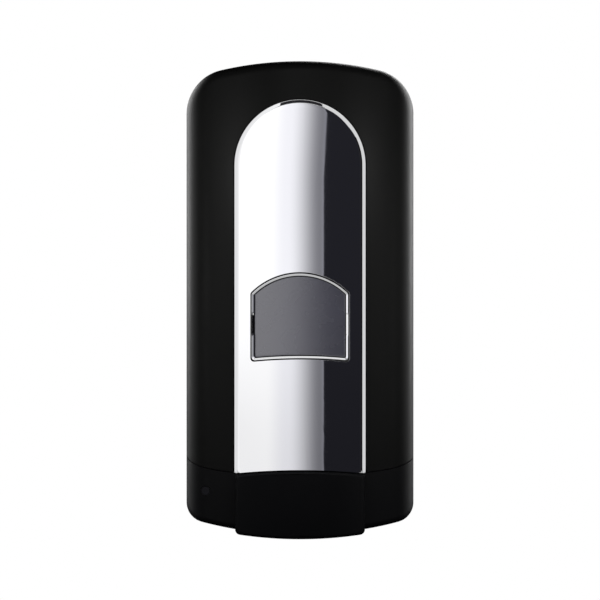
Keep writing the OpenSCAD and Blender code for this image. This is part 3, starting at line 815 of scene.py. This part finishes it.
def moulded(name, base, rough, grain=0.35, depth=0.01, spec=0.5, swing=0.05, mottle=0.08):
    """Moulded plastic: fine spark-eroded grain, faint flow mottling and uneven gloss."""
    m = Mat(name, base, rough, spec=spec)
    cloud = m.noise(38, (1, 1, 1.8), 4)
    m.shade(cloud, mottle)
    fine = m.noise(grain, detail=2)
    m.to("Roughness", m.math("ADD", m.remap(cloud, rough - swing, rough + swing), m.remap(fine, -0.02, 0.02)))
    m.relief(fine, depth)
    return m


def metal(name, base, rough, stretch=(1, 1, 1), size=0.5, swing=0.06, depth=0.003):
    """Bright metal with fine drawn or tumbled marks."""
    m = Mat(name, base, rough, metallic=1.0)
    marks = m.noise(size, stretch, 3)
    haze = m.noise(9, detail=3)
    m.shade(haze, 0.06)
    m.to("Roughness", m.math("ADD", m.remap(marks, rough - swing, rough + swing), m.remap(haze, -0.03, 0.03)))
    m.relief(marks, depth)
    return m


def chrome():
    """Plated panel: near-mirror, with faint plating ripple and wiped haze."""
    m = Mat("panel_chrome", (0.90, 0.905, 0.915), 0.04, metallic=1.0)
    wipe = m.noise(30, (1, 1, 3.5), 4)
    m.shade(m.noise(60), 0.012)
    m.to("Roughness", m.remap(wipe, 0.028, 0.055))
    m.relief(m.noise(14, (1, 1, 2.5), 1), 0.0006)
    return m


def smoked():
    """Smoked window pane: satin face, tint that deepens a little with uneven moulding flow."""
    m = Mat("smoked_lens", (0.080, 0.080, 0.108), 0.27, ior=2.2, spec=0.5)
    m.shade(m.noise(24, (1.5, 1, 1), 3), 0.07)
    m.to("Roughness", m.remap(m.noise(9, detail=2), 0.255, 0.285))
    return m


def clear(name, base, rough, transmission, ior=1.5, haze=0.04):
    m = Mat(name, base, rough, ior=ior)
    m.set("Transmission Weight", transmission)
    cloud = m.noise(16, (1, 1, 2), 3)
    m.shade(cloud, 0.05)
    m.to("Roughness", m.remap(cloud, max(0.02, rough - haze), rough + haze))
    m.relief(m.noise(5, detail=2), 0.03)
    return m


def gear_plastic(name, base):
    m = moulded(name, base, 0.42, grain=0.8, depth=0.006, mottle=0.04)
    m.set("Subsurface Weight", 0.15)
    m.set("Subsurface Radius", (0.004, 0.003, 0.002))
    m.set("Subsurface Scale", 0.5)
    return m


def board(name):
    """Solder mask over copper tracks, with bare plated pads."""
    solder_mask, over_track, pad = (0.008, 0.09, 0.03), (0.02, 0.19, 0.06), (0.62, 0.60, 0.52)
    m = Mat(name, solder_mask, 0.28)
    brick = m.node("ShaderNodeTexBrick", offset=0.5, squash=1.0)
    swap = m.node("ShaderNodeCombineXYZ")
    m.nt.links.new(m.axis(0), swap.inputs[0])
    m.nt.links.new(m.axis(2), swap.inputs[1])
    m.nt.links.new(swap.outputs[0], brick.inputs["Vector"])
    brick.inputs["Scale"].default_value = 1000.0 / 9
    brick.inputs["Mortar Size"].default_value = 0.055
    brick.inputs["Mortar Smooth"].default_value = 0.2
    tracks = brick.outputs["Fac"]
    dots = m.node("ShaderNodeTexVoronoi", feature="F1")
    dots.inputs["Scale"].default_value = 1000.0 / 4.2
    m.nt.links.new(swap.outputs[0], dots.inputs["Vector"])
    pads = m.math("LESS_THAN", dots.outputs["Distance"], 0.17)
    m.to("Base Color", m.blend(pads, m.blend(tracks, solder_mask, over_track), pad))
    m.to("Roughness", m.remap(m.noise(6), 0.24, 0.34))
    m.relief(m.math("ADD", tracks, pads), 0.03)
    return m


def cell_wrap():
    """Printed sleeve of a plain round cell: a coppery end band, a dark body and bright metal ends."""
    foot, line_z, band_z, cap = -0.1142, -0.0808, -0.0795, -0.0665  # heights along the cells, in metres
    m = Mat("cell_wrap", (0.03, 0.03, 0.035), 0.3)
    z = m.axis(2)
    top = m.math("GREATER_THAN", z, band_z)
    band = m.blend(top, (0.02, 0.021, 0.024), (0.52, 0.27, 0.10))
    thin = m.math("MULTIPLY", m.math("GREATER_THAN", z, line_z), m.math("LESS_THAN", z, band_z))
    body = m.blend(thin, band, (0.75, 0.74, 0.70))
    ends = m.math("ADD", m.math("GREATER_THAN", z, cap), m.math("LESS_THAN", z, foot))
    m.to("Base Color", m.blend(ends, body, (0.68, 0.69, 0.70)))
    m.to("Metallic", m.math("MAXIMUM", ends, m.math("MULTIPLY", top, 0.6)))
    m.to("Roughness", m.remap(m.noise(3, (1, 1, 4)), 0.24, 0.36))
    m.relief(m.noise(1.4), 0.006)
    return m


def ribbon(name, first, second, edge_x):
    """Two-core lead: one core each side of the groove at edge_x."""
    m = Mat(name, first, 0.45)
    x = m.axis(0)
    side = m.math("GREATER_THAN", x, edge_x * MM)
    m.to("Base Color", m.blend(side, first, second))
    across = m.math("ABSOLUTE", m.math("SUBTRACT", x, edge_x * MM))
    groove = m.remap(across, 0.0, 1.0, 0.0, 0.0006)
    m.to("Roughness", m.remap(m.noise(2.5), 0.38, 0.52))
    m.relief(groove, 0.35)
    return m


library = {
    "housing_black": moulded("housing_black", (0.014, 0.014, 0.015), 0.5, depth=0.02, spec=0.3),
    "cover_black": moulded("cover_black", (0.016, 0.0161, 0.0157), 0.42, spec=0.14),
    "chin_black": moulded("chin_black", (0.0155, 0.0155, 0.0175), 0.42, spec=0.14),
    "panel_chrome": chrome(),
    "smoked_lens": smoked(),
    "infrared_lens": clear("infrared_lens", (0.05, 0.004, 0.008), 0.08, 0.25, 1.55),
    "indicator_clear": clear("indicator_clear", (0.012, 0.012, 0.014), 0.12, 0.1, 1.5),
    "steel": metal("steel", (0.56, 0.57, 0.58), 0.28, (1, 1, 6)),
    "latch_grey": moulded("latch_grey", (0.075, 0.075, 0.08), 0.45),
    "chassis_grey": moulded("chassis_grey", (0.03, 0.03, 0.033), 0.48, depth=0.02),
    "bottle_clear": clear("bottle_clear", (0.80, 0.83, 0.84), 0.34, 0.3, 1.5, 0.04),
    "soap": clear("soap", (0.55, 0.74, 0.80), 0.15, 0.2, 1.38),
    "white_plastic": moulded("white_plastic", (0.74, 0.745, 0.75), 0.4, mottle=0.03),
    "gear_cream": gear_plastic("gear_cream", (0.74, 0.73, 0.66)),
    "brass_pinion": metal("brass_pinion", (0.78, 0.58, 0.28), 0.3, (1, 4, 1)),
    "motor_can": metal("motor_can", (0.60, 0.61, 0.63), 0.24, (1, 9, 1)),
    "tray_grey": moulded("tray_grey", (0.045, 0.045, 0.05), 0.5),
    "cell_wrap": cell_wrap(),
    "contact_nickel": metal("contact_nickel", (0.66, 0.64, 0.60), 0.22, (5, 1, 1)),
    "board_green": board("board_green"),
    "chip_black": moulded("chip_black", (0.02, 0.02, 0.022), 0.42, grain=0.2),
    "led_clear": clear("led_clear", (0.80, 0.84, 0.92), 0.06, 0.8, 1.5),
    "lead_red": ribbon("lead_red", (0.42, 0.015, 0.012), (0.016, 0.016, 0.018), -34.3),
    "lead_black": ribbon("lead_black", (0.42, 0.015, 0.012), (0.016, 0.016, 0.018), 32.0),
}


def dress(obj, slot):
    obj.data.materials.clear()
    obj.data.materials.append(library[slot].mat)


slot_of = {s["node"]: s["material_slot"] for s in frame["record"]["subparts"]}
for name, obj in frame["nodes"].items():
    dress(obj, slot_of[name])
# the strip round the window takes the cover's black as painted shadow
for obj, slot in ((cover, "cover_black"), (panel, "panel_chrome"), (pane, "smoked_lens"),
                  (nose, "chin_black"), (chin_shell, "chin_black"), (shadow_strip, "cover_black"),
                  (springs[0], "steel"), (springs[1], "steel")):
    dress(obj, slot)


# ---------------------------------------------------------------- studio

scene = bpy.context.scene


def receivers(name, objects):
    """Group of pieces that a light is meant for."""
    group = bpy.data.collections.new(name)
    for o in objects:
        group.objects.link(o)
    return group


bright_work = receivers("bright_work", [panel, pane])
black_work = receivers("black_work", [cover, chin_shell, nose])
inner_work = receivers("inner_work", list(frame["nodes"].values()))


class Card:
    """Soft light card, w by h metres in its own xz plane, which the camera sees only in reflections."""

    def __init__(self, name, where, turn, w, h, only=None):
        x, z = w / 2, h / 2
        mesh = bpy.data.meshes.new(name)
        mesh.from_pydata([(-x, 0, -z), (x, 0, -z), (x, 0, z), (-x, 0, z)], [], [(0, 1, 2, 3)])
        self.obj = bpy.data.objects.new(name, mesh)
        scene.collection.objects.link(self.obj)
        self.obj.location = where
        self.obj.rotation_euler = [math.radians(a) for a in turn]
        self.mat = bpy.data.materials.new(name)
        self.mat.use_nodes = True
        self.nt = self.mat.node_tree
        self.nt.nodes.clear()
        self.glow = self.nt.nodes.new("ShaderNodeEmission")
        out = self.nt.nodes.new("ShaderNodeOutputMaterial")
        self.nt.links.new(self.glow.outputs[0], out.inputs["Surface"])
        mesh.materials.append(self.mat)
        self.obj.visible_camera = False
        self.obj.visible_shadow = False
        if only:
            self.obj.light_linking.receiver_collection = only

    def plain(self, strength):
        self.glow.inputs["Strength"].default_value = strength
        self.glow.inputs["Color"].default_value = (1, 1, 1, 1)


def graded(card, span, stops, fade=None, bend=None):
    """Light that changes across the card between these stops: place, grey and blue share.

    fade dims it towards the floor, and bend leans the stops over with height; both are from, to, low, high.
    """
    nt = card.nt
    sep = nt.nodes.new("ShaderNodeSeparateXYZ")
    nt.links.new(nt.nodes.new("ShaderNodeTexCoord").outputs["Object"], sep.inputs[0])
    across, height = sep.outputs[0], sep.outputs[2]

    def remap(out, a, b, lo, hi, kind="SMOOTHSTEP"):
        n = nt.nodes.new("ShaderNodeMapRange")
        n.interpolation_type = kind
        for key, value in (("From Min", a), ("From Max", b), ("To Min", lo), ("To Max", hi)):
            n.inputs[key].default_value = value
        nt.links.new(out, n.inputs["Value"])
        return n.outputs["Result"]

    if bend:
        lean = nt.nodes.new("ShaderNodeMath")
        lean.operation = "SUBTRACT"
        nt.links.new(across, lean.inputs[0])
        nt.links.new(remap(height, *bend), lean.inputs[1])
        across = lean.outputs[0]
    ramp = nt.nodes.new("ShaderNodeValToRGB")
    ramp.color_ramp.interpolation = "EASE"
    els = ramp.color_ramp.elements
    for i, (x, grey, blue) in enumerate(stops):
        pos = (x - span[0]) / (span[1] - span[0])
        e = els[i] if i < 2 else els.new(pos)
        e.position = pos
        e.color = (grey, grey * 0.995, grey * blue, 1.0)
    nt.links.new(remap(across, *span, 0, 1, "LINEAR"), ramp.inputs["Fac"])
    nt.links.new(ramp.outputs[0], card.glow.inputs["Color"])
    if fade:
        nt.links.new(remap(height, *fade), card.glow.inputs["Strength"])


world = bpy.data.worlds.new("studio")
world.use_nodes = True
scene.world = world
nt = world.node_tree
nt.nodes.clear()
path = nt.nodes.new("ShaderNodeLightPath")
seen, dim = nt.nodes.new("ShaderNodeBackground"), nt.nodes.new("ShaderNodeBackground")
seen.inputs["Color"].default_value = (1, 1, 1, 1)
dim.inputs["Color"].default_value = (0.0215, 0.0208, 0.0235, 1)
mix, out = nt.nodes.new("ShaderNodeMixShader"), nt.nodes.new("ShaderNodeOutputWorld")
nt.links.new(path.outputs["Is Camera Ray"], mix.inputs[0])
nt.links.new(dim.outputs[0], mix.inputs[1])
nt.links.new(seen.outputs[0], mix.inputs[2])
nt.links.new(mix.outputs[0], out.inputs["Surface"])

key = Card("key_card", (0, -1.9, 0), (0, 0, 0), 2.8, 1.8, bright_work)
graded(key, (-1.4, 1.4),
       [(-0.7, 0.95, 1.0), (-0.25, 0.8, 1.04), (0.4, 0.17, 1.1), (0.46, 0.2, 1.14), (0.468, 0.012, 1.3)],
       fade=(-0.16, 0.03, 0.98, 1.25), bend=(0.10, 0.20, 0.0, 0.085))

left = Card("left_rear", (-1.4, 0.2, 0.9), (0, 0, -90), 4.2, 4.4, bright_work)
graded(left, (-2.1, 2.1), [(-2.1, 0.5, 1.0), (2.1, 1.0, 1.0)])
Card("right_rear", (1.6, 0.9, 0.9), (0, 0, 90), 2.8, 4.4, bright_work).plain(0.72)
Card("right_high", (1.6, -1.2, 1.82), (0, 0, 90), 1.4, 2.55, bright_work).plain(0.72)
Card("right_flag", (1.3, -0.96, -0.35), (0, 0, 90), 1.08, 1.7, bright_work).plain(0.0)
Card("front_high", (0.0, -1.9, 1.42), (0, 0, 0), 2.8, 0.8, bright_work).plain(0.85)
Card("overhead", (0.0, 0.6, 1.4), (-90, 0, 0), 3.2, 1.9, bright_work).plain(0.9)
Card("underneath", (0.0, -0.15, -0.45), (90, 0, 0), 3.2, 3.5, bright_work).plain(0.55)


def lamp(name, where, aim, size, power, only=None):
    data = bpy.data.lights.new(name, "AREA")
    data.shape = "ELLIPSE"
    data.size, data.size_y = size
    data.energy = power
    obj = bpy.data.objects.new(name, data)
    scene.collection.objects.link(obj)
    obj.location = where
    obj.rotation_euler = (Vector(aim) - Vector(where)).to_track_quat("-Z", "Y").to_euler()
    obj.visible_camera = False
    if only:
        obj.light_linking.receiver_collection = only


black_rig = (  # kind, place and aim of the right-hand one, size, watts
    ("arch", (0.09, -0.18, 0.07), (0.039, -0.096, 0.065), (0.02, 0.02), 0.015),
    ("glow", (0.16, -0.25, 0.09), (0.04, -0.095, 0.075), (0.08, 0.03), 0.025),
    ("near", (0.25, -0.3, -0.02), (0.045, -0.09, -0.02), (0.1, 0.15), 0.06),
    ("corner", (0.4, -0.2, 0.0), (0.05, -0.08, 0.0), (0.1, 0.15), 0.08),
    ("flank", (0.3, 0.02, 0.0), (0.055, -0.07, 0.0), (0.05, 0.2), 0.03),
    ("rear", (1.2, 1.4, 0.4), (0.0, 0.0, 0.0), (0.9, 0.9), 12))
for side, word in ((-1, "left"), (1, "right")):
    for kind, (x, y, z), (aim_x, aim_y, aim_z), size, power in black_rig:
        lamp(f"{kind}_{word}", (side * x, y, z), (side * aim_x, aim_y, aim_z), size, power, black_work)
lamp("glow_top", (0, -0.36, 0.135), (0, -0.1, 0.12), (0.14, 0.03), 0.04, black_work)
nose_work = receivers("nose_work", [nose])
lamp("nose_glow", (0, -0.17, -0.06), (0, -0.1, -0.105), (0.06, 0.03), 0.004, nose_work)
lamp("front_soft", (-0.7, -1.4, 0.7), (0, -0.05, 0), (0.9, 0.9), 26, inner_work)
lamp("back_soft", (0.5, 1.1, 0.9), (0, 0, 0), (0.9, 0.9), 14)
lamp("top_soft", (-0.2, 0.2, 1.3), (0, -0.05, 0), (0.7, 0.7), 4, inner_work)

floor = bpy.data.objects.new("floor", bpy.data.meshes.new("floor"))
FLOOR_HW, FLOOR_NEAR, FLOOR_FAR, FLOOR_Z = 1.6, -1.6, 1.4, -0.46
floor.data.from_pydata([(-FLOOR_HW, FLOOR_NEAR, FLOOR_Z), (FLOOR_HW, FLOOR_NEAR, FLOOR_Z),
                        (FLOOR_HW, FLOOR_FAR, FLOOR_Z), (-FLOOR_HW, FLOOR_FAR, FLOOR_Z)],
                       [], [(0, 1, 2, 3)])
scene.collection.objects.link(floor)
floor_mat = Mat("floor_pale", (0.86, 0.86, 0.865), 0.7)
floor_mat.shade(floor_mat.noise(220), 0.01)
floor_mat.relief(floor_mat.noise(3), 0.02)
floor_mat.set("Emission Color", (1, 1, 1, 1))
floor_mat.set("Emission Strength", 0.8)
floor.data.materials.append(floor_mat.mat)
floor.visible_diffuse = False
floor.visible_glossy = False

camera_data = bpy.data.cameras.new("camera")
camera_data.sensor_width = 36
camera_data.lens = 311.8
camera = bpy.data.objects.new("camera", camera_data)
scene.collection.objects.link(camera)
camera.location = (0.0, -3.0, 0.0)
camera.rotation_euler = (math.radians(90), 0, 0)
scene.camera = camera
scene.view_settings.view_transform = "Standard"
scene.view_settings.look = "None"
